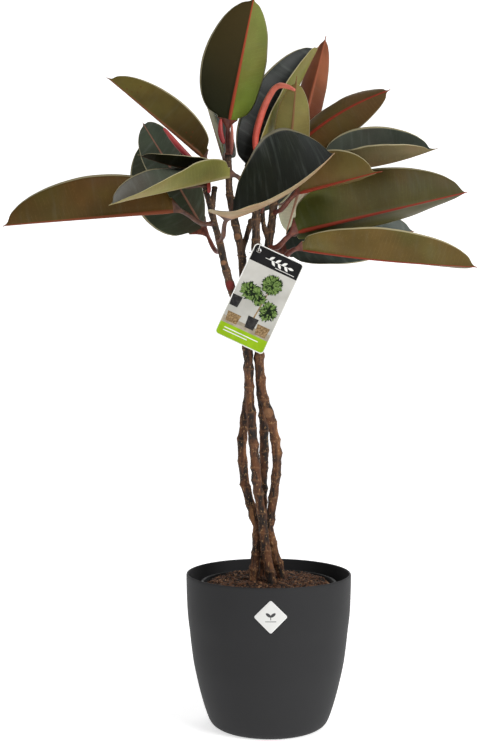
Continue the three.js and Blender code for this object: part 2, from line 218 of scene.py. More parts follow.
def turned(name, profile, sides, finish):
    """A closed shape turned about the pot's axis, from radii and heights in millimetres, axis to axis."""
    points, rows = [], []
    for radius, height in profile:
        radius, height = radius / 1000, height / 1000
        count = sides if radius > 1e-6 else 1
        rows.append(range(len(points), len(points) + count))
        for k in range(count):
            turn = 2 * math.pi * k / sides
            points.append((radius * math.sin(turn), -radius * math.cos(turn), height))
    faces = []
    for low, high in zip(rows, rows[1:]):
        for k in range(sides):
            n = (k + 1) % sides
            corners = [low[k % len(low)], low[n % len(low)], high[n % len(high)], high[k % len(high)]]
            faces.append(list(dict.fromkeys(corners)))
    return body(name, points, faces, finish)


pot_plastic = Finish("pot_plastic", roughness=0.6, specular_ior_level=0.12)
mottle = pot_plastic.grain(7, 2)
pot_plastic.feed("Base Color", pot_plastic.mix(mottle, tint(47, 47, 48), tint(53, 53, 54)))
pot_plastic.feed("Roughness", 0.54 + 0.12 * pot_plastic.grain(16, 3))
pot_plastic.bump(pot_plastic.grain(2600, 2), 0.12, 0.0004)

# Radius and height in millimetres: under the foot, up the outside, over the rim, and down to the floor.
POT_UNDERSIDE = [(0, 0), (40, 0)]
POT_SIDE = [
    (70, 0), (74, 0.9), (78, 4.6), (80.6, 9.5), (83.5, 17), (86.8, 27), (90, 38), (95.5, 60), (100, 81),
    (103, 102), (105.5, 124), (108, 145), (109.2, 166), (109.8, 184), (110, 197.6)]
POT_RIM = [(109.8, 198.9), (109.2, 199.7), (108.5, 200), (107.9, 199.7), (107.5, 199), (107.4, 198)]
POT_FLOOR = [(76, 7.5), (68, 4), (0, 4)]
POT_WALL, FLOOR_CURVE = 2.6, 14
POT_ROWS, POT_TURNS = 60, 160
side = np.array(POT_SIDE, float)
lengths = np.r_[0, np.cumsum(np.hypot(*np.diff(side, axis=0).T))]
side = curve_through(side, lengths, np.linspace(0, lengths[-1], POT_ROWS))
inside = [(radius - POT_WALL, height) for radius, height in side[::-1] if height > FLOOR_CURVE]
pot = turned("grey_cover_pot", [*POT_UNDERSIDE, *side, *POT_RIM, *inside, *POT_FLOOR], POT_TURNS, pot_plastic)
stand_for(pot, "pot_plastic", "cover_pot")


# ---------------------------------------------------------------- grower's pot
# A thin vacuum-formed black pot that the plant was grown in. It stands inside the cover pot, and only its
# rolled rim shows round the soil.
grower_plastic = Finish("grower_plastic", roughness=0.6, specular_ior_level=0.2)
scuffs = grower_plastic.grain(40)
grower_plastic.feed("Base Color", grower_plastic.mix(scuffs, tint(9, 9, 9), tint(14, 14, 14)))

GROWER_OUTSIDE = [(0, 4.5), (66, 4.5), (67.5, 6), (87, 179.5)]
GROWER_RIM = [(88.5, 180), (90.8, 180), (91, 186), (90.6, 187.6), (89.5, 188), (87.4, 188), (86.9, 187)]
GROWER_INSIDE = [(85.6, 175), (65.2, 6.6), (0, 6.4)]
GROWER_TURNS = 128
grower = turned("growers_pot", GROWER_OUTSIDE + GROWER_RIM + GROWER_INSIDE, GROWER_TURNS, grower_plastic)
stand_for(grower, "grow_pot_plastic", "nursery_pot")


# ---------------------------------------------------------------- potting mix
# Dark peat mounded round the stems, with reddish-brown bark chips pressed into its top. The mound follows
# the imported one; a node tree strews the chips over it.
peat = Finish("peat", roughness=0.95)
crumbs = peat.grain(260, 6)
peat.feed("Base Color", peat.mix(peat.fade(crumbs, 0.35, 0.7), tint(20, 13, 9), tint(58, 40, 28)))
peat.bump(crumbs, 0.8, 0.002)

chip_bark = Finish("chip_bark", roughness=0.85)
shade = chip_bark.grain(230, 1)
warm = chip_bark.mix(chip_bark.fade(shade, 0.36, 0.62), tint(22, 14, 9), tint(98, 62, 38))
pale = chip_bark.fade(chip_bark.grain(170, 1), 0.6, 0.68)
chip_bark.feed("Base Color", chip_bark.mix(pale * 0.8, warm, tint(156, 116, 80)))
chip_bark.bump(chip_bark.grain(500, 4), 0.5, 0.001)


def joined_up(node):
    """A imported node's loose triangles, joined at their corners."""
    mesh = bmesh.new()
    mesh.from_mesh(frame["nodes"][node].data)
    bmesh.ops.remove_doubles(mesh, verts=mesh.verts, dist=1e-6)
    return mesh


def merged_copy(name, node):
    """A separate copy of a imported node, joined up."""
    mesh = joined_up(node)
    made = shown(name, bpy.data.meshes.new(name))
    mesh.to_mesh(made.data)
    mesh.free()
    return made


def settled(made):
    """The plain mesh that a piece's modifiers give, with none of them left."""
    bpy.context.view_layer.update()
    graph = bpy.context.evaluated_depsgraph_get()
    made.data = bpy.data.meshes.new_from_object(made.evaluated_get(graph))
    made.modifiers.clear()
    made.data.polygons.foreach_set("use_smooth", [True] * len(made.data.polygons))
    return made


def remeshed(made, cell):
    """The piece with an even mesh of small cells, so that its surface can be worked."""
    remesh = made.modifiers.new("even", "REMESH")
    remesh.mode, remesh.voxel_size, remesh.use_smooth_shade = "VOXEL", cell, True
    return settled(made)


def chip_tree():
    """Strews rough chips over the faces of a mound that look up."""
    tree = bpy.data.node_groups.new("bark_chips", "GeometryNodeTree")
    for name, kind in (("Mound", "Geometry"), ("Chips per square metre", "Float"), ("Chip length", "Float"),
                       ("Seed", "Int"), ("Chip finish", "Material")):
        tree.interface.new_socket(name=name, in_out="INPUT", socket_type="NodeSocket" + kind)
    tree.interface.new_socket(name="Soil", in_out="OUTPUT", socket_type="NodeSocketGeometry")
    lay = Wiring(tree)
    given = lay.node("NodeGroupInput", {}, {})
    asked = {s.name: Tone(lay, s) for s in given.socket.node.outputs if s.name}
    upward = lay.part(lay.node("GeometryNodeInputNormal", {}, {}), "Z")
    facing = lay.node("FunctionNodeCompare", {"operation": "GREATER_THAN"}, {"A": upward, "B": 0.5})
    spots = lay.node("GeometryNodeDistributePointsOnFaces", {}, {
        "Mesh": asked["Mound"], "Selection": facing,
        "Density": asked["Chips per square metre"], "Seed": asked["Seed"]}, "Points")
    lump = lay.node("GeometryNodeMeshIcoSphere", {}, {
        "Radius": asked["Chip length"] * 0.5, "Subdivisions": 1})
    vector = {"data_type": "FLOAT_VECTOR"}
    turn = lay.node("FunctionNodeRandomValue", vector, {
        "Min": (-0.9, -0.9, 0), "Max": (0.9, 0.9, 6.28), "Seed": asked["Seed"]})
    size = lay.node("FunctionNodeRandomValue", vector, {
        "Min": (0.45, 0.25, 0.2), "Max": (1.35, 0.7, 0.6), "Seed": asked["Seed"] + 1})
    chips = lay.node("GeometryNodeInstanceOnPoints", {}, {
        "Points": spots, "Instance": lump, "Rotation": turn, "Scale": size})
    real = lay.node("GeometryNodeRealizeInstances", {}, {"Geometry": chips})
    painted = lay.node("GeometryNodeSetMaterial", {}, {"Geometry": real, "Material": asked["Chip finish"]})
    both = lay.node("GeometryNodeJoinGeometry", {}, {"Geometry": [asked["Mound"], painted]})
    lay.node("NodeGroupOutput", {}, {"Soil": both})
    return tree


SOIL_CELL, LUMPY_ABOVE = 0.0022, 0.178
CHIPS = {
    "Chips per square metre": 210000.0, "Chip length": 0.0056, "Seed": 4, "Chip finish": chip_bark.material}
soil = remeshed(merged_copy("potting_mix", "soil"), SOIL_CELL)
soil.data.materials.append(peat.material)
for vertex in soil.data.vertices:
    if vertex.co.z > LUMPY_ABOVE:
        vertex.co.z += 0.0032 * noise.noise(vertex.co * 90) + 0.0016 * noise.noise(vertex.co * 260)
strewn = soil.modifiers.new("chips", "NODES")
strewn.node_group = chip_tree()
for name, value in CHIPS.items():
    socket = next(s for s in strewn.node_group.interface.items_tree if s.name == name)
    strewn[socket.identifier] = value
settled(soil)
stand_for(soil, "soil", "soil")


# ---------------------------------------------------------------- stems
# Four young trunks braided round each other, with brown ringed bark: a thin ridge where each leaf once
# stood, round cut faces where shoots were pruned off, and pale flecks, partly corky bark and partly painted
# highlights.
bark = Finish("ringed_bark", roughness=0.8)
marks = bark.node("ShaderNodeAttribute", {"attribute_name": "marks"}, {}, "Vector")
ridge, cut, bud = (bark.part(marks, axis) for axis in "XYZ")
height = bark.part(bark.place(), "Z")
long_way = bark.place((1, 1, 0.35))
patches = bark.fade(bark.grain(110, 4, long_way), 0.36, 0.64)
old = bark.mix(patches, tint(26, 15, 8), tint(102, 62, 34))
old = bark.mix(bark.fade(bark.grain(70, 5, bark.place((1, 1, 0.2))), 0.54, 0.74), old, tint(146, 98, 58))
young = bark.mix(patches, tint(30, 20, 13), tint(84, 60, 42))
skin = bark.mix(bark.fade(height, 0.42, 0.62), old, young)
# Pale flecks: partly corky bark, partly painted highlights, thicker low on the stems.
flecks_and_highlights = bark.fade(bark.grain(430, 2, bark.place((1, 1, 0.6))), 0.6, 0.67)
skin = bark.mix(flecks_and_highlights * (0.75 - height * 0.6), skin, tint(190, 148, 98))
cracks = bark.fade(bark.grain(330, 3, bark.place((1, 1, 0.25))), 0.42, 0.34)
skin = bark.mix(cracks * 0.85, skin, tint(16, 9, 5))
skin = bark.mix(ridge * 0.4, skin, tint(142, 100, 64))
skin = bark.mix(cut, skin, bark.mix(bark.grain(500, 3), tint(150, 108, 72), tint(104, 68, 42)))
bark.feed("Base Color", bark.mix(bud, skin, tint(112, 34, 28)))
bark.feed("Roughness", 0.62 + 0.3 * bark.grain(60, 2))
bark.bump(bark.grain(700, 5, bark.place((1, 1, 0.45))), 0.9, 0.0014)

# Each mark: its place, its radius, and whether it is a pruned cut or a red bud.
STEM_MARKS = {
    "stem_left": [((-0.052, -0.024, 0.582), 0.005, "bud"), ((-0.060, -0.022, 0.612), 0.003, "cut")],
    "stem_middle_left": [((-0.042, -0.001, 0.649), 0.0045, "cut")],
    "stem_middle_right": [((-0.001, -0.023, 0.414), 0.006, "cut"), ((-0.026, -0.014, 0.634), 0.005, "cut")],
    "stem_right": [((0.006, 0.002, 0.68), 0.003, "cut")],
}
MARK_SPREAD = 2.2  # how far a mark swells the bark round it, in its own radii
BARK_CELL = 0.00085
YOUNG_WOOD = 0.5  # above this height the rings are wider apart and less swollen
RING_GAP, YOUNG_GAP = (0.017, 0.032), 0.01
RING_WIDTH, SWELL_WIDTH = 0.0009, 0.006
FIRST_STEM_SEED = 3


def held(value):
    """The value, kept between 0 and 1."""
    return min(1.0, max(0.0, value))


def stem(node, seed):
    """A packed stem with its bark worked: ringed, swollen on one side of each ring, rough, and marked."""
    made = remeshed(merged_copy(node.replace("stem", "trunk"), node), BARK_CELL)
    dice = random.Random(seed)
    rings, level = [], 0.19
    while level < 0.8:
        level += dice.uniform(*RING_GAP) + (YOUNG_GAP if level > YOUNG_WOOD else 0)
        rings.append(level)
    rings = np.array(rings)
    sides = [dice.uniform(0, 2 * math.pi) for _ in rings]
    lean = Vector((dice.uniform(-0.3, 0.3), dice.uniform(-0.3, 0.3), 1))
    points = [v.co.copy() for v in made.data.vertices]
    normals = [v.normal.copy() for v in made.data.vertices]
    scars = []
    for index, (point, normal) in enumerate(zip(points, normals)):
        wobble = 0.0012 * noise.noise(point * 170)
        gaps = np.abs(rings - (point.dot(lean) + wobble))
        nearest = int(gaps.argmin())
        near = gaps[nearest]
        ring = math.exp(-(near / RING_WIDTH) ** 2)
        facing = normal.x * math.cos(sides[nearest]) + normal.y * math.sin(sides[nearest])
        swell = math.exp(-(near / SWELL_WIDTH) ** 2) * (0.4 + 0.7 * max(0.0, facing))
        rough = 0.0006 * noise.noise(point * 130) + 0.0003 * noise.noise(point * 420)
        grow = 0.00045 * ring + (0.0015 if point.z < YOUNG_WOOD else 0.0008) * swell - 0.0004 + rough
        face, red = 0.0, 0.0
        for place, radius, kind in STEM_MARKS[node]:
            away = (point - Vector(place)).length / radius
            if away < MARK_SPREAD:
                grow += 0.32 * radius * max(0.0, 1 - (away / MARK_SPREAD) ** 2) - 0.1 * radius * (away < 0.75)
                if kind == "cut":
                    face = max(face, held((1.15 - away) / 0.25))
                else:
                    red = max(red, held((1.6 - away) / 0.6))
        grow += 0.0009 * held((point.z - 0.45) / 0.1)
        made.data.vertices[index].co = point + normal * grow
        scars += [ring, face, red]
    stored = made.data.attributes.new("marks", "FLOAT_VECTOR", "POINT")
    stored.data.foreach_set("vector", scars)
    made.data.materials.append(bark.material)
    return stand_for(made, "bark", node)


for seed, node in enumerate(sorted(STEM_MARKS), FIRST_STEM_SEED):
    stem(node, seed)


# ---------------------------------------------------------------- leaves
# Thick waxy blades folded along the midrib, dark above and olive to coral below, each on its own stalk and
# drawn out to a thread at the tip. Each follows the cross-sections of its packed leaf.
RING_POINTS = 8


def rings_of(node):
    """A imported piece's cross-sections from end to end, eight points each, and its two end points."""
    mesh = joined_up(node)
    near = [[e.other_vert(v).index for e in v.link_edges] for v in mesh.verts]
    place = np.array([v.co for v in mesh.verts])
    mesh.free()
    for start in [i for i, n in enumerate(near) if len(n) == RING_POINTS]:
        layers, seen = [[start]], {start}
        while layers[-1]:
            step = sorted({n for i in layers[-1] for n in near[i]} - seen)
            seen.update(step)
            layers.append(step)
        layers.pop()
        if len(layers[-1]) == 1 and all(len(layer) == RING_POINTS for layer in layers[1:-1]):
            break
    rings = []
    for layer in layers[1:-1]:
        walk = [layer[0]]
        while len(walk) < RING_POINTS:
            walk.append(next(n for n in near[walk[-1]] if n in layer and n not in walk))
        ring = place[walk]
        if rings:
            last = rings[-1] - rings[-1].mean(0)
            turns = [np.roll(way, k, 0) for way in (ring, ring[::-1]) for k in range(RING_POINTS)]
            ring = min(turns, key=lambda r: ((r - r.mean(0) - last) ** 2).sum())
        rings.append(ring)
    return np.array(rings), place[layers[0][0]], place[layers[-1][0]]


def flatness(ring):
    """How thick a ring is against its width."""
    sizes = np.linalg.svd(ring - ring.mean(0), compute_uv=False)
    return sizes[1] / sizes[0]


def unit(vectors):
    return vectors / np.maximum(np.linalg.norm(vectors, axis=-1, keepdims=True), 1e-12)


STALK_RINGS = 5
MIDDLE_RING = STALK_RINGS + 6
ACROSS = 16  # steps from the midrib to a margin
REACH = np.linspace(0, 1, ACROSS + 1) ** 1.35
STALK_STEPS, BLADE_STEPS, THREAD_STEPS = 16, 74, 12
MID_STATION = 40
FIRST_LEAF_SEED = 11
SWOLLEN_FOOT = ((0.0042, 1.5), (0.002, 1.32))  # how far back from the stalk's end, and how much wider
THREAD = (0.12, 0.25, 0.4, 0.55, 0.7, 0.85, 0.96)
OPENING, THINNING = 0.01, 0.008  # from the hinge, how far the blade takes to open and to thin
BLADE_THICK, RIB_PROUD = 0.0008, 0.0012
GROOVE_DEPTH, GROOVE_WIDTH = 0.00045, 0.0012
BOX_MARGIN = 2e-5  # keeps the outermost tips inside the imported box


def blade_sections(node):
    """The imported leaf's rings from foot to tip: 0 and 4 are the margins, 1-3 below and 5-7 above."""
    rings, foot, tip = rings_of(node)
    if flatness(rings[1]) < flatness(rings[-2]):
        rings, tip = rings[::-1], foot
    middle = rings[MIDDLE_RING]
    width = [np.linalg.norm(middle[k] - middle[k + 4]) for k in range(4)]
    rings = np.roll(rings, -int(np.argmax(width)), 1)
    middle = rings[MIDDLE_RING]
    chord = (middle[0] + middle[4]) / 2
    if np.linalg.norm(middle[6] - chord) > np.linalg.norm(middle[2] - chord):
        rings = rings[:, [0, 7, 6, 5, 4, 3, 2, 1]]
    middle = rings[MIDDLE_RING]
    along = rings[MIDDLE_RING + 1].mean(0) - rings[MIDDLE_RING - 1].mean(0)
    above = middle[6] - middle[2]
    if np.cross(middle[4] - middle[0], along) @ above > 0:
        rings = rings[:, [4, 3, 2, 1, 0, 7, 6, 5]]
    return rings, tip


def spread(fine, middle, halves):
    """Points from margin to margin: a curve from the middle point, by each halfway point, to its margin."""
    u = REACH[None, :, None]
    arms = []
    for half, edge in zip(halves, (0, 4)):
        a, h, b = fine[:, None, middle], fine[:, None, half], fine[:, None, edge]
        arms.append(a * (1 - u) * (1 - 2 * u) + h * 4 * u * (1 - u) + b * u * (2 * u - 1))
    return np.concatenate([arms[0][:, ::-1], arms[1][:, 1:]], 1)


def leaf_shape(node, seed, wave):
    """A leaf's fine cross-sections above and below, where each point lies, and which rows are stalk."""
    rings, tip = blade_sections(node)
    dice = random.Random(seed)
    centre = rings.mean(1)
    thread = []
    for share in THREAD:
        size = (1 - share) ** 2.4 * 0.93 + 0.07
        thread.append(centre[-1] + (tip - centre[-1]) * share + (rings[-1] - centre[-1]) * size)
    root = unit(centre[1] - centre[0])
    swollen = [centre[0] - root * back + (rings[0] - centre[0]) * size for back, size in SWOLLEN_FOOT]
    rings = np.concatenate([swollen, rings, thread])
    place = np.r_[0, np.cumsum(np.linalg.norm(np.diff(rings[:, 6], axis=0), axis=1))]
    hinge, last = place[STALK_RINGS + len(swollen)], place[-len(thread) - 1]
    stations = np.unique(np.r_[
        np.linspace(0, hinge, STALK_STEPS),
        hinge + (last - hinge) * (1 - np.cos(np.linspace(0, math.pi, BLADE_STEPS))) / 2,
        np.linspace(last, place[-1], THREAD_STEPS)])
    fine = curve_through(rings, place, stations)
    above = spread(fine, 6, (7, 5))
    stalk_below = spread(fine, 2, (1, 3))
    signed = np.r_[-REACH[::-1], REACH[1:]]
    normal = unit(np.cross(np.gradient(above, axis=1), np.gradient(above, axis=0)))
    if (normal[MID_STATION, ACROSS] @ (fine[MID_STATION, 6] - fine[MID_STATION, 2])) < 0:
        normal = -normal
    half_width = np.linalg.norm(fine[:, 4] - fine[:, 0], axis=1) / 2
    across = signed[None, :] * half_width[:, None]

    # The blade opens from its stalk's width just past the hinge.
    opened = np.sqrt(1 - (1 - np.clip((stations - hinge) / OPENING, 0, 1)) ** 2)
    stalk_width = half_width[stations <= hinge][-1]
    shrink = np.where(stations > hinge, np.minimum(1, np.maximum(opened, stalk_width / half_width)), 1)
    above = fine[:, None, 6] + (above - fine[:, None, 6]) * shrink[:, None, None]
    stalk_below = fine[:, None, 2] + (stalk_below - fine[:, None, 2]) * shrink[:, None, None]
    across = across * shrink[:, None]

    # The blade ripples towards its margins, and is grooved along the midrib above and ribbed below.
    share = np.clip((stations - hinge) / (last - hinge), 0, 1)[:, None]
    body_part = np.clip((stations - hinge) / THINNING, 0, 1)[:, None]
    rib = np.linalg.norm(fine[:, 6] - fine[:, 2], axis=1)[:, None]
    ends = np.sin(math.pi * share) ** 0.6
    ripple = sum(
        amount * np.sin(2 * math.pi * (turns * share + dice.random()) + (signed > 0) * dice.uniform(0, 6))
        for turns, amount in ((1.3, 1.0), (2.7, 0.5), (5.1, 0.22)))
    lift = wave * ripple * signed ** 2 * ends
    groove = -GROOVE_DEPTH * np.exp(-(across / GROOVE_WIDTH) ** 2) * body_part * (1 - share)
    above = above + normal * ((lift + groove) * body_part)[..., None]
    sheet = BLADE_THICK * (1 - np.abs(signed) ** 5) * (1 - 0.3 * share)
    ridge = np.maximum(rib - RIB_PROUD, 0.0002) * np.exp(-(across / (0.45 * rib + 0.0002)) ** 2)
    below = above - normal * (sheet + ridge)[..., None]
    below = stalk_below * (1 - body_part)[..., None] + below * body_part[..., None]
    below[:, 0], below[:, -1] = above[:, 0], above[:, -1]

    along, out = (np.broadcast_to(a, across.shape) for a in ((stations - hinge)[:, None], np.abs(signed)))
    where = np.stack([along, across, out], -1)
    chart = np.stack([np.broadcast_to(a, across.shape) for a in (share, 0.5 + 0.5 * signed)], -1)
    return above, below, where, chart, stations[1:] <= hinge + 0.001


def leaf(node, seed, wave, *finishes):
    """One closed leaf. Its finishes are the upper side's, the underside's and the stalk's."""
    above, below, where, chart, on_stalk = leaf_shape(node, seed, wave)
    rows, count = above.shape[:2]
    around = 2 * (count - 1)
    ring = np.concatenate([above, below[:, -2:0:-1]], 1)
    spots = np.concatenate([where, where[:, -2:0:-1]], 1).reshape(-1, 3)
    flat = np.concatenate([chart, chart[:, -2:0:-1]], 1).reshape(-1, 2)
    points = np.vstack([ring.reshape(-1, 3), ring[0].mean(0), ring[-1].mean(0)])
    points = np.clip(points, np.array(cad_box[0]) + BOX_MARGIN, np.array(cad_box[1]) - BOX_MARGIN)
    spots = np.vstack([spots, spots[0], spots[-1]])
    flat = np.vstack([flat, flat[0], flat[-1]])
    faces, kinds = [], []
    for row in range(rows - 1):
        low, high = row * around, (row + 1) * around
        for k in range(around):
            n = (k + 1) % around
            faces.append((low + k, low + n, high + n, high + k))
            kinds.append(2 if on_stalk[row] else 0 if k < count - 1 else 1)
    last = (rows - 1) * around
    for k in range(around):
        n = (k + 1) % around
        faces.append((len(points) - 2, n, k))
        faces.append((len(points) - 1, last + k, last + n))
        kinds += [2, 1]
    made = body(node.replace("leaf", "blade"), points, faces, *finishes)
    mesh = made.data
    mesh.polygons.foreach_set("material_index", kinds)
    stored = mesh.attributes.new("blade", "FLOAT_VECTOR", "POINT")
    stored.data.foreach_set("vector", spots.ravel())
    chart_layer = mesh.uv_layers.new(name="blade_chart")
    corners = np.zeros(len(mesh.loops), int)
    mesh.loops.foreach_get("vertex_index", corners)
    chart_layer.data.foreach_set("uv", flat[corners].ravel())
    volume = bmesh.new()
    volume.from_mesh(mesh)
    if volume.calc_volume(signed=True) < 0:
        bmesh.ops.reverse_faces(volume, faces=volume.faces)
        volume.to_mesh(mesh)
    volume.free()
    return made


def veined(name, ground, far, rib, strength, dust_and_sheen, rough, spots=False, halves=None):
    """A leaf's skin: ground shades to far at the tip, with grey streaks of dust and painted sheen, a coloured
    midrib, side veins and a pale edge; halves, if given, paint one side of the midrib in shade.
    """
    gloss = {"specular_ior_level": 0.55 - rough, "coat_weight": 0.03, "coat_roughness": 0.3}
    skin = Finish(name, roughness=rough, **gloss)
    where = skin.node("ShaderNodeAttribute", {"attribute_name": "blade"}, {}, "Vector")
    along, across, margin = (skin.part(where, axis) for axis in "XYZ")
    share = skin.part(skin.node("ShaderNodeUVMap", {"uv_map": "blade_chart"}, {}), "X")
    look = skin.mix(skin.fade(share, 0.05, 0.65), ground, far)
    red, green, blue, _ = ground
    broad = skin.fade(skin.grain(13, 2), 0.35, 0.65)
    look = skin.mix((1 - broad) * 0.45, look, (red * 1.15, green * 0.78, blue * 0.65, 1))
    look = skin.mix(broad * 0.35, look, (red * 0.95, green * 1.22, blue * 0.8, 1))
    cloud = skin.grain(24, 4)
    look = skin.mix(skin.fade(cloud, 0.3, 0.7) * 0.4, look, (red * 0.4, green * 0.42, blue * 0.4, 1))
    fine = skin.grain(420, 3)
    pale = (red * 1.7 + 0.01, green * 1.7 + 0.01, blue * 1.7 + 0.01, 1)
    look = skin.mix(skin.fade(fine, 0.55, 0.8) * 0.22, look, pale)
    # Grey streaks along the blade: partly dust, partly a painted sheen, strongest on the upper sides.
    streaked = skin.node("ShaderNodeVectorMath", {"operation": "MULTIPLY"}, {0: where, 1: (1, 0.22, 0)})
    look = skin.mix(skin.fade(skin.grain(120.0, 6.0, streaked), 0.48, 0.8) * dust_and_sheen, look, tint(128, 136, 128))
    bend = skin.grain(60, 2) * 0.003
    run = (along - abs(across) * 0.34 + bend) * 190
    wave = abs(skin.node("ShaderNodeMath", {"operation": "SINE"}, {0: run * math.pi}))
    veins = (1 - skin.fade(wave, 0.0, 0.3)) * skin.fade(skin.grain(45, 2), 0.4, 0.62)
    look = skin.mix(veins * strength, look, pale)
    # Painted shade: with halves given, the underside on one side of the midrib is painted dark, as if turned
    # from the light.
    if halves:
        half = skin.mix(skin.fade(share + 0.4 * cloud, 0.2, 1.2), *halves)
        look = skin.mix(skin.fade(across, -0.0004, 0.0004) * 0.92 + 0.04, half, look)
    if spots:
        cells = {"Vector": skin.place(), "Scale": 130.0}
        dots = 1 - skin.fade(skin.node("ShaderNodeTexVoronoi", {}, cells, "Distance"), 0.1, 0.24)
        dots = dots * skin.fade(skin.grain(28, 1), 0.5, 0.6)
        look = skin.mix(dots * 0.8, look, tint(88, 48, 22))
    wide = 0.0017 - 0.0011 * share
    middle = 1 - skin.fade(abs(across), wide * 0.6, wide * 1.35)
    look = skin.mix(middle * 0.9, look, rib)
    rim = skin.fade(margin, 0.945, 0.972)
    skin.feed("Base Color", skin.mix(rim * 0.85, look, PALE_EDGE))
    skin.feed("Roughness", rough - 0.08 + 0.2 * cloud)
    skin.bump(veins * 0.6 + fine * 0.25 + skin.grain(90, 2) * 0.8, 0.22, 0.0006)
    return skin


def stalk_skin(name, colour, pale):
    skin = Finish(name, roughness=0.5, coat_weight=0.1, coat_roughness=0.4)
    streaks = skin.grain(160, 3)
    skin.feed("Base Color", skin.mix(skin.fade(streaks, 0.35, 0.7), colour, pale))
    skin.bump(streaks, 0.3, 0.0006)
    return skin


PALE_EDGE = tint(196, 186, 148)
# The top leaf's underside: one side of its midrib painted dark brown from foot to tip, as painted shade.
TOP_LEAF_SHADED_HALF = (tint(24, 22, 9), tint(58, 46, 22))
RED, PINK, OLIVE = (140, 48, 34), (160, 112, 92), (96, 90, 45)
BROWN_STALK = (tint(66, 36, 24), tint(98, 60, 40))
RED_STALK = (tint(88, 38, 28), tint(122, 66, 48))

# Each leaf: its upper side, its underside at the foot and at the tip, its midrib, its stalk, and its waves'
# height in millimetres.
LEAVES = {
    "low_left": ((62, 68, 54), (88, 64, 29), (70, 60, 29), (120, 62, 40), BROWN_STALK, 1.2),
    "upper_left": ((58, 62, 50), (64, 52, 22), (104, 92, 42), (118, 74, 46), BROWN_STALK, 1.0),
    "front_left": ((86, 88, 80), (140, 134, 74), (146, 134, 81), (150, 138, 96), BROWN_STALK, 1.4),
    # edge_left's underside is painted near-black: painted shade for an underside seen edge-on in shadow.
    "edge_left": ((56, 62, 50), (26, 24, 12), (30, 28, 13), (60, 40, 26), BROWN_STALK, 0.8),
    "behind_left": ((78, 84, 72), OLIVE, OLIVE, PINK, BROWN_STALK, 0.8),
    "far_left": ((76, 82, 66), OLIVE, OLIVE, PINK, RED_STALK, 1.2),
    "behind_top": ((62, 74, 56), (130, 126, 71), (130, 126, 71), PINK, BROWN_STALK, 0.8),
    "top": ((48, 56, 42), (112, 124, 52), (126, 124, 71), (156, 64, 42), RED_STALK, 1.0),
    "back_upright": ((36, 41, 38), (132, 126, 66), (140, 132, 71), PINK, BROWN_STALK, 1.2),
    "young_green": ((70, 82, 44), (124, 116, 66), (142, 136, 82), (128, 92, 62), RED_STALK, 0.5),
    "front": ((33, 39, 38), (168, 142, 112), (160, 138, 104), (150, 120, 92), BROWN_STALK, 1.6),
    "front_right": ((70, 76, 62), (102, 84, 49), (116, 98, 57), RED, RED_STALK, 0.8),
    "upper_right": ((60, 64, 52), (102, 78, 44), (98, 80, 49), RED, RED_STALK, 0.8),
    "young_orange": ((110, 60, 44), (92, 52, 34), (164, 98, 70), (150, 84, 58), RED_STALK, 0.5),
    "mid_right": ((84, 88, 82), (122, 106, 76), (122, 108, 80), (140, 118, 88), BROWN_STALK, 1.2),
    "low_right": ((60, 66, 52), (76, 77, 33), (82, 66, 38), RED, RED_STALK, 1.2),
    "lowest_right": ((60, 66, 52), (104, 90, 45), (96, 84, 47), RED, RED_STALK, 1.2),
    "far_right": ((62, 74, 68), OLIVE, OLIVE, PINK, RED_STALK, 1.0),
    "back_hanging": ((66, 70, 62), (206, 198, 178), (212, 204, 186), PINK, BROWN_STALK, 0.6),
    "back_low": ((60, 66, 58), (110, 100, 55), (110, 100, 55), PINK, BROWN_STALK, 0.8),
}
SLOTS = {row["node"]: row["material_slot"] for row in frame["record"]["subparts"]}
for seed, (short, (*colours, stalk, wave)) in enumerate(LEAVES.items(), FIRST_LEAF_SEED):
    node = f"leaf_{short}"
    upper, foot, tip, rib = (tint(*colour) for colour in colours)
    halves = TOP_LEAF_SHADED_HALF if short == "top" else None
    top_skin = veined(f"upper_{short}", upper, upper, rib, 0.16, 0.3, 0.36)
    under_skin = veined(f"under_{short}", foot, tip, rib, 0.2, 0.06, 0.46, short == "upper_left", halves)
    made = leaf(node, seed, wave / 1000, top_skin, under_skin, stalk_skin(f"stalk_{short}", *stalk))
    stand_for(made, SLOTS[node], node)


# ---------------------------------------------------------------- bud sheaths
# Papery red and coral sleeves that wrap each growing tip, rolled lengthwise with a seam and soft ridges.
SLEEVE_ROWS, SLEEVE_SIDES = 70, 40


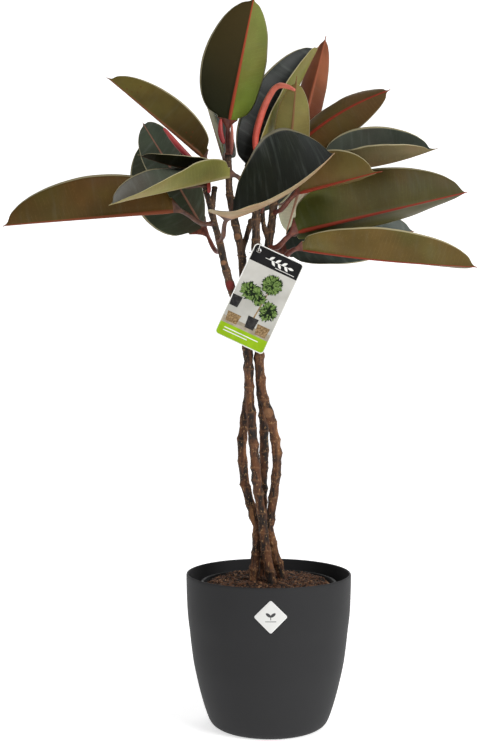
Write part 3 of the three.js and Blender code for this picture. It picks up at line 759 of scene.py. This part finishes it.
def sheath(node, foot, tip, ridges):
    """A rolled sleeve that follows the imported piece's rings, shading from foot to tip."""
    rings, start, end = rings_of(node)
    rising = 0 if node == "sheath_centre" else 2  # the axis along which its tip lies further
    if start[rising] > end[rising]:
        rings, start, end = rings[::-1], end, start
    centre = rings.mean(1)
    place = np.r_[0, np.cumsum(np.linalg.norm(np.diff(centre, axis=0), axis=1))]
    fine = curve_through(rings, place, np.linspace(0, place[-1], SLEEVE_ROWS))
    middle = fine.mean(1)
    reach = unit(fine[:, 0] - middle)
    along = unit(np.gradient(middle, axis=0))
    other = np.cross(along, reach)
    size = np.linalg.norm(fine - middle[:, None], axis=2).mean(1)
    points = []
    for row in range(SLEEVE_ROWS):
        for k in range(SLEEVE_SIDES):
            turn = 2 * math.pi * k / SLEEVE_SIDES
            seam = math.exp(-(((turn - 4.4 + 0.5 * row / SLEEVE_ROWS) % (2 * math.pi)) / 0.22) ** 2)
            radius = size[row] * (1 + 0.045 * math.cos(ridges * turn + 0.06 * row) - 0.16 * seam)
            points.append(middle[row] + radius * (reach[row] * math.cos(turn) + other[row] * math.sin(turn)))
    points += [start, end]
    last = (SLEEVE_ROWS - 1) * SLEEVE_SIDES
    faces = []
    for low in range(0, last, SLEEVE_SIDES):
        high = low + SLEEVE_SIDES
        for k in range(SLEEVE_SIDES):
            n = (k + 1) % SLEEVE_SIDES
            faces.append((low + k, low + n, high + n, high + k))
    for k in range(SLEEVE_SIDES):
        n = (k + 1) % SLEEVE_SIDES
        faces += [(len(points) - 2, n, k), (len(points) - 1, last + k, last + n)]
    skin = Finish(f"{node}_skin", roughness=0.5, coat_weight=0.1, coat_roughness=0.4)
    share = skin.node("ShaderNodeAttribute", {"attribute_name": "length"}, {}, "Fac")
    ground = skin.mix(skin.fade(share, 0.1, 0.9), foot, tip)
    speckle = skin.grain(700, 3)
    lighter = (*(min(1, c * 1.5 + 0.05) for c in foot[:3]), 1)
    ground = skin.mix(skin.fade(speckle, 0.5, 0.7) * 0.35, ground, lighter)
    shade = skin.fade(skin.grain(90, 2), 0.4, 0.7)
    skin.feed("Base Color", skin.mix(shade * 0.35, ground, (*(c * 0.5 for c in foot[:3]), 1)))
    skin.bump(speckle, 0.3, 0.0006)
    made = body(node.replace("sheath", "sleeve").replace("bud", "sleeve_bud"), points, faces, skin)
    stored = made.data.attributes.new("length", "FLOAT", "POINT")
    stored.data.foreach_set("value", [*np.repeat(np.linspace(0, 1, SLEEVE_ROWS), SLEEVE_SIDES), 0, 1])
    return stand_for(made, SLOTS[node], node)


sheath("sheath_left", tint(150, 26, 34), tint(176, 52, 48), 5)
sheath("sheath_centre", tint(204, 78, 60), tint(228, 124, 102), 4)
sheath("bud_top", tint(140, 30, 32), tint(178, 58, 50), 3)
sheath("sheath_top", tint(120, 60, 48), tint(190, 110, 90), 3)
sheath("bud_left", tint(150, 40, 36), tint(176, 62, 48), 3)


# ---------------------------------------------------------------- pot sticker
# A thin paper diamond with rounded corners, stuck to the pot's front: pale grey with a whiter edge. Its
# print is a generic two-leaf sprout over a plain line.
STICKER_HEIGHT, STICKER_HALF, STICKER_CORNER = 164, 15, 2.2
STICKER_LIFTS = (0.2, 0.5)  # its back and its face, in front of the pot
STICKER_RINGS = 14
POT_RADIUS_THERE, PRINT_SPAN = 109, 44


def round_square(half, corner, steps):
    """A square with rounded corners, round its middle."""
    flat = half - corner
    edge = []
    for quarter, (x, y) in enumerate(((1, 1), (-1, 1), (-1, -1), (1, -1))):
        for k in range(steps + 1):
            turn = math.pi / 2 * (quarter + k / steps)
            edge.append((flat * x + corner * math.cos(turn), flat * y + corner * math.sin(turn)))
    return edge


def on_pot(along, up, lift):
    """A point of the pot's front: along and up from the sticker's middle, lift in front of the pot's skin."""
    radius = float(np.interp(STICKER_HEIGHT + up, side[:, 1], side[:, 0])) + lift
    turn = along / POT_RADIUS_THERE
    return (radius * math.sin(turn) / 1000, -radius * math.cos(turn) / 1000, (STICKER_HEIGHT + up) / 1000)


paper = Finish("sticker_paper", roughness=0.5)
chart = paper.node("ShaderNodeUVMap", {"uv_map": "print"}, {})
across, up = (paper.part(chart, axis) - 0.5 for axis in "XY")
reach = abs(across) + abs(up)
leaf_run = abs(across) * 0.8 + up * 0.6
leaf_off = abs(across) * -0.6 + up * 0.8
sprout = ((leaf_run - 0.085) * 9.5) ** 2 + ((leaf_off - 0.005) * 20) ** 2
print_ink = 1 - paper.fade(sprout, 0.55, 0.85)
stem_ink = (1 - paper.fade(abs(across), 0.008, 0.014)) * (1 - paper.fade(abs(up + 0.035), 0.045, 0.055))
line_ink = (1 - paper.fade(abs(across), 0.15, 0.16)) * (1 - paper.fade(abs(up + 0.13), 0.006, 0.012))
ink = paper.node("ShaderNodeClamp", {}, {"Value": print_ink + stem_ink + line_ink})
ground = paper.mix(paper.grain(30, 2), tint(222, 222, 219), tint(230, 230, 227))
ground = paper.mix(paper.fade(reach, 0.455, 0.465), ground, tint(247, 247, 245))
paper.feed("Base Color", paper.mix(ink, ground, tint(52, 52, 54)))

turn45 = math.sqrt(0.5)
diamond = [(x * turn45 - y * turn45, x * turn45 + y * turn45)
           for x, y in round_square(STICKER_HALF, STICKER_CORNER, 6)]
points, uvs, faces = [], [], []
for lift in STICKER_LIFTS:
    for ring in range(1, STICKER_RINGS + 1):
        for x, y in diamond:
            a, b = x * ring / STICKER_RINGS, y * ring / STICKER_RINGS
            points.append(on_pot(a, b, lift))
            uvs.append((0.5 + a / PRINT_SPAN, 0.5 + b / PRINT_SPAN))
count = len(diamond)
layer_size = STICKER_RINGS * count
for layer, lift in enumerate(STICKER_LIFTS):
    first, outward = layer * layer_size, 1 if layer else -1
    hub = len(points)
    points.append(on_pot(0, 0, lift))
    uvs.append((0.5, 0.5))
    for k in range(count):
        n = (k + 1) % count
        faces.append((hub, first + k, first + n)[::outward])
        for low in range(first, first + layer_size - count, count):
            high = low + count
            faces.append((low + k, high + k, high + n, low + n)[::outward])
back, front = layer_size - count, 2 * layer_size - count
for k in range(count):
    n = (k + 1) % count
    faces.append((back + k, back + n, front + n, front + k))
label = body("pot_label", points, faces, paper)
layer = label.data.uv_layers.new(name="print")
for loop in label.data.loops:
    layer.data[loop.index].uv = uvs[loop.vertex_index]
stand_for(label, "sticker_paper", "pot_sticker")


# ---------------------------------------------------------------- plant label
# A printed plastic card hung from a hole in its corner: white edge, black heading, a picture of green
# plants in pots against a pale wall, and a green foot. Its wording is replaced by plain lines and a sprig.
# All in millimetres.
TAG_CENTRE, TAG_LEAN = (-13, -33, 564), math.radians(25)
TAG_WIDE, TAG_TALL, TAG_THICK, TAG_BORDER = 70, 130, 0.8, 1.3
HALF_WIDE, HALF_TALL = TAG_WIDE / 2 - TAG_BORDER, TAG_TALL / 2 - TAG_BORDER
HEAD, FOOT = HALF_TALL - 22, -HALF_TALL + 17  # the heading's lower edge and the foot's upper edge
HOLE, HOLE_RADIUS = (-TAG_WIDE / 2 + 8, TAG_TALL / 2 - 8), 3.15
PRINT_CORNER, PIERCED_WIDE, FLOOR_TALL = 4, 15, 9
GROUND_INK, SCENE_INK, ITEM_INK, LINE_INK, BUSH_INK = 0.03, 0.06, 0.09, 0.12, 0.14  # in front of the card


def on_tag(x, y, lift):
    """A point of the card: x and y from its middle, lift in front of its face."""
    a = x * math.cos(TAG_LEAN) + y * math.sin(TAG_LEAN)
    b = -x * math.sin(TAG_LEAN) + y * math.cos(TAG_LEAN)
    depth = TAG_CENTRE[1] - TAG_THICK / 2 - lift
    return ((TAG_CENTRE[0] + a) / 1000, depth / 1000, (TAG_CENTRE[2] + b) / 1000)


def card_stock(name, first, second, scale=60):
    stock = Finish(name, roughness=0.42, specular_ior_level=0.2)
    stock.feed("Base Color", stock.mix(stock.fade(stock.grain(scale, 3), 0.35, 0.65), first, second))
    return stock


tag_white = card_stock("tag_white", tint(232, 232, 228), tint(240, 240, 237))
tag_inks = {
    "black": card_stock("ink_black", tint(20, 20, 22), tint(27, 27, 29)),
    "wall": card_stock("ink_wall", tint(178, 177, 170), tint(200, 199, 193), 26),
    "floor": card_stock("ink_floor", tint(150, 140, 122), tint(178, 168, 150), 120),
    "lime": card_stock("ink_lime", tint(140, 176, 22), tint(150, 188, 28)),
    "white": tag_white,
    "leaf_dark": card_stock("ink_leaf_dark", tint(10, 18, 7), tint(20, 34, 13), 300),
    "leaf_mid": card_stock("ink_leaf_mid", tint(26, 44, 16), tint(42, 64, 24), 300),
    "leaf_light": card_stock("ink_leaf_light", tint(84, 110, 52), tint(120, 146, 80), 300),
    "pot_dark": card_stock("ink_pot_dark", tint(34, 33, 34), tint(58, 56, 56), 220),
    "wicker": card_stock("ink_wicker", tint(112, 88, 58), tint(164, 138, 100), 420),
}
ink_order = list(tag_inks)
card = bmesh.new()


def laid(outline, lift, ink):
    """One flat printed shape, a hair in front of the last."""
    face = card.faces.new([card.verts.new(on_tag(x, y, lift)) for x, y in outline])
    face.material_index = ink_order.index(ink)
    face.normal_update()
    if face.normal.y > 0:
        face.normal_flip()


def framed(low, high, rounded=()):
    """A rectangle between two corner points. Of its corners, numbered from the top right by the left, the
    asked ones are rounded."""
    (x0, y0), (x1, y1) = low, high
    shape = []
    spots = ((x1, y1, -1, -1), (x0, y1, 1, -1), (x0, y0, 1, 1), (x1, y0, -1, 1))
    for quarter, (x, y, sx, sy) in enumerate(spots):
        if quarter in rounded:
            for k in range(7):
                turn = math.pi / 2 * (quarter + k / 6)
                shape.append((x + sx * PRINT_CORNER + PRINT_CORNER * math.cos(turn),
                              y + sy * PRINT_CORNER + PRINT_CORNER * math.sin(turn)))
        else:
            shape.append((x, y))
    return shape


def pierced(low, high, ink):
    """The heading's corner piece, printed round the card's hole."""
    (x0, y0), (x1, y1) = low, high
    turns = [2 * math.pi * k / 24 for k in range(24)]
    turns += [math.atan2(y - HOLE[1], x - HOLE[0]) % (2 * math.pi) for x, y in ((x0, y0), (x1, y0), (x1, y1))]
    ring, outer = [], []
    corner = (x0 + PRINT_CORNER, y1 - PRINT_CORNER)
    for turn in sorted(turns):
        ring.append((HOLE[0] + HOLE_RADIUS * math.cos(turn), HOLE[1] + HOLE_RADIUS * math.sin(turn)))
        dx, dy = ring[-1][0] - HOLE[0], ring[-1][1] - HOLE[1]
        reach = min(((x1 if dx > 0 else x0) - HOLE[0]) / dx if abs(dx) > 1e-6 else 1e9,
                    ((y1 if dy > 0 else y0) - HOLE[1]) / dy if abs(dy) > 1e-6 else 1e9)
        px, py = HOLE[0] + dx * reach, HOLE[1] + dy * reach
        if px < corner[0] and py > corner[1]:
            away = max(math.hypot(px - corner[0], py - corner[1]), PRINT_CORNER)
            px = corner[0] + (px - corner[0]) * PRINT_CORNER / away
            py = corner[1] + (py - corner[1]) * PRINT_CORNER / away
        outer.append((px, py))
    for k in range(len(ring)):
        n = (k + 1) % len(ring)
        laid([ring[k], outer[k], outer[n], ring[n]], GROUND_INK, ink)


pierced((-HALF_WIDE, HEAD), (-HALF_WIDE + PIERCED_WIDE, HALF_TALL), "black")
laid(framed((-HALF_WIDE + PIERCED_WIDE, HEAD), (HALF_WIDE, HALF_TALL), (0,)), GROUND_INK, "black")
laid(framed((-HALF_WIDE, FOOT), (HALF_WIDE, HEAD)), GROUND_INK, "wall")
laid(framed((-HALF_WIDE, FOOT), (HALF_WIDE, FOOT + FLOOR_TALL)), SCENE_INK, "floor")
laid(framed((-HALF_WIDE, -HALF_TALL), (HALF_WIDE, FOOT), (2, 3)), SCENE_INK, "lime")

# A sprig of seven leaves and two plain lines in the heading, and two more lines in the foot.
for lean, x in ((0.75, -10), (-0.7, -6), (0.7, -1), (-0.75, 3), (0.65, 8), (-0.65, 12), (0, 17)):
    upper = [(k / 8, 1.7 * math.sin(math.pi * k / 8)) for k in range(9)]
    sprig_leaf = upper + [(a, -b) for a, b in upper[-2:0:-1]]
    laid([(x + 8.5 * a * math.cos(lean) - b * math.sin(lean),
           52 + 8.5 * a * math.sin(lean) + b * math.cos(lean)) for a, b in sprig_leaf], ITEM_INK, "white")
for low, high in (((-15, 51.6), (18, 52.3)), ((2, 44.6), (29, 45.3)),
                  ((-26, FOOT - 6.2), (22, FOOT - 5)), ((-26, FOOT - 10), (8, FOOT - 8.8))):
    laid(framed(low, high), LINE_INK, "white")


def printed_pot(x, y, wide, tall, ink, lift):
    rim, foot = wide / 2, wide * 0.4
    laid([(x - rim, y + tall), (x - foot, y), (x + foot, y), (x + rim, y + tall)], lift, ink)


dice = random.Random(8)


def printed_bush(x, y, wide, tall, count, arch):
    """Small leaves over a dark oval: darker first, lighter on top."""
    shade = [(x + wide * 0.8 * math.cos(k * math.pi / 12), y + tall * 0.8 * math.sin(k * math.pi / 12))
             for k in range(24)]
    laid(shade, BUSH_INK - 0.01, "leaf_dark")
    for k in range(count):
        turn, far = dice.uniform(0, 2 * math.pi), math.sqrt(dice.random())
        px, py = x + wide * far * 0.85 * math.cos(turn), y + tall * far * 0.85 * math.sin(turn)
        lean = math.atan2(py - y, px - x) + dice.uniform(-0.8, 0.8) - arch * far
        long, broad = dice.uniform(3.4, 6.2), dice.uniform(0.9, 1.5)
        light = min(2, int(3 * k / count + dice.uniform(-0.6, 0.6)) if k else 0)
        shape = [(0, 0), (long * 0.4, broad), (long, 0), (long * 0.4, -broad)]
        laid([(px + a * math.cos(lean) - b * math.sin(lean), py + a * math.sin(lean) + b * math.cos(lean))
              for a, b in shape], BUSH_INK + 0.0004 * k, ("leaf_dark", "leaf_mid", "leaf_light")[light])


printed_pot(-21, FOOT + 3, 19, 13, "wicker", ITEM_INK)
printed_pot(-27, FOOT + 24, 14, 15, "pot_dark", ITEM_INK)
printed_pot(21, FOOT + 2, 18, 14, "wicker", ITEM_INK)
printed_pot(4, FOOT + 5, 15, 16, "pot_dark", LINE_INK)
laid([(3, FOOT + 20), (5, FOOT + 20), (8.6, FOOT + 62), (7.4, FOOT + 62)], LINE_INK, "wicker")
printed_bush(8, FOOT + 69, 12, 12, 300, 0.0)
printed_bush(-14, FOOT + 51, 14, 11, 230, 0.9)
printed_bush(18, FOOT + 36, 11, 12, 170, 0.6)
printed_bush(1, FOOT + 46, 6, 8, 80, 0.5)

stock = merged_copy("card", "plant_tag")
card.from_mesh(stock.data)
for face in card.faces[-len(stock.data.polygons):]:
    face.material_index = ink_order.index("white")
tag_mesh = bpy.data.meshes.new("hanging_label")
card.to_mesh(tag_mesh)
card.free()
bpy.data.objects.remove(stock)
for ink in ink_order:
    tag_mesh.materials.append(tag_inks[ink].material)
tag = shown("hanging_label", tag_mesh)
stand_for(tag, "tag_card", "plant_tag")


# ---------------------------------------------------------------- label tie
# The loop that the label hangs by: thin white plastic-coated wire, passed through the card's hole and closed
# on itself.
wire = Finish("tie_wire_coat", roughness=0.4)
wire.feed("Base Color", wire.mix(wire.grain(200), tint(226, 226, 222), tint(240, 240, 238)))
loop = merged_copy("label_tie", "tag_tie")
round_off = loop.modifiers.new("round", "SUBSURF")
round_off.levels = round_off.render_levels = 1
settled(loop)
loop.data.materials.append(wire.material)
stand_for(loop, "tie_wire", "tag_tie")


# ---------------------------------------------------------------- floor, backdrop and lights
# A pale seamless sheet under and behind the plant, one large soft light from the front right, a weaker one
# from the left, and an even pale surround.
sheet = Finish("backdrop_sheet", roughness=0.9, emission_strength=0.62)
white = sheet.mix(sheet.grain(2, 1), tint(250, 250, 250), tint(252, 252, 252))
sheet.feed("Base Color", white)
sheet.feed("Emission Color", white)
bend = [(3.2 + 1.2 * math.sin(k * math.pi / 16), 1.2 - 1.2 * math.cos(k * math.pi / 16)) for k in range(1, 9)]
drop = [(-4, 0), (3.2, 0), *bend, (4.4, 5)]
points = [(x, y, z - 0.0002) for x in (-6, 6) for y, z in drop]
faces = [(k, k + len(drop), k + 1 + len(drop), k + 1) for k in range(len(drop) - 1)]
backdrop = body("backdrop", points, faces, sheet)


def soft_light(name, place, aim, size, power):
    light = shown(name, bpy.data.lights.new(name, "AREA"))
    light.data.shape, light.data.size, light.data.energy = "DISK", size, power
    light.location = place
    light.rotation_euler = (Vector(aim) - Vector(place)).to_track_quat("-Z", "Y").to_euler()


soft_light("key", (1.7, -1.7, 1.9), (0, 0, 0.5), 1.3, 46)
soft_light("fill", (-1.9, -1.6, 1.1), (0, 0, 0.5), 1.6, 4)
soft_light("back", (0.3, 1.9, 2.2), (0, 0, 0.6), 1.4, 8)
world = bpy.data.worlds.new("surround")
bpy.context.scene.world = world
world.use_nodes = True
world.node_tree.nodes["Background"].inputs["Color"].default_value = (1, 1, 1, 1)
world.node_tree.nodes["Background"].inputs["Strength"].default_value = 0.26
bpy.context.scene.view_settings.view_transform = "Standard"
